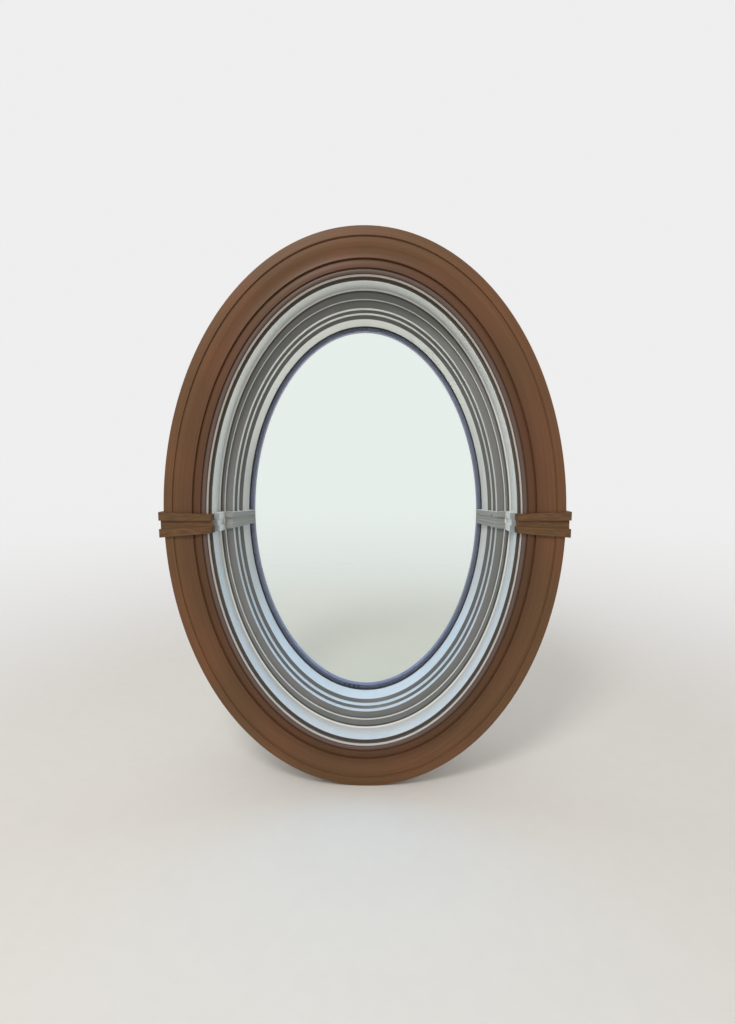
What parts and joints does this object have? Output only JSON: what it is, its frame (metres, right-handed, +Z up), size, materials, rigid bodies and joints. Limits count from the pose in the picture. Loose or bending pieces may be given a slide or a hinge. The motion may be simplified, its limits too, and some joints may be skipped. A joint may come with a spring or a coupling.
{
  "type": "oval window",
  "caption": "Fixed oval window, taller than wide, with a stepped frame, sealed double glazing and a moulded interior casing keyed by tapered blocks at both sides.",
  "frame": {"origin": "centre of the oval, in the plane of the room's wall on which the casing lies", "axes": "+X to the right as seen from the room, +Y through the wall to the outside, +Z up"},
  "size_m": [0.7766, 0.184, 1.0672],
  "materials": {
    "casing_brown": "stained, satin, with a pale inner edge",
    "trim_white": "painted off-white, satin",
    "frame_grey": "painted light grey, satin",
    "joinery_wood": "bare, hidden in the joints",
    "glass": "clear, polished",
    "gasket_black": "matt black",
    "spacer_dark": "dark anodised, satin",
    "fin_metal": "mill finish",
    "screw_steel": "zinc plated"
  },
  "bodies": {
    "root": {"casing_upper": "casing_brown", "casing_lower": "casing_brown", "casing_block_left": "casing_brown", "casing_block_right": "casing_brown", "jamb_upper": "trim_white", "jamb_lower": "trim_white", "reveal_block_left": "trim_white", "reveal_block_right": "trim_white", "frame_upper": "frame_grey", "frame_lower": "frame_grey", "fin_upper": "fin_metal", "fin_lower": "fin_metal", "sash_upper": "frame_grey", "sash_lower": "frame_grey", "sash_block_left": "trim_white", "sash_block_right": "trim_white", "sash_seal": "gasket_black", "outer_stop_upper": "frame_grey", "outer_stop_lower": "frame_grey", "glazing_bead_upper": "frame_grey", "glazing_bead_lower": "frame_grey", "gasket_inner": "gasket_black", "gasket_outer": "gasket_black", "glass_seal": "gasket_black", "glass_spacer": "spacer_dark", "pane_inner": "glass", "pane_outer": "glass", "setting_blocks": "gasket_black", "extension_screws": "screw_steel", "frame_splines": "joinery_wood", "sash_splines": "joinery_wood"}
  },
  "joints": []
}
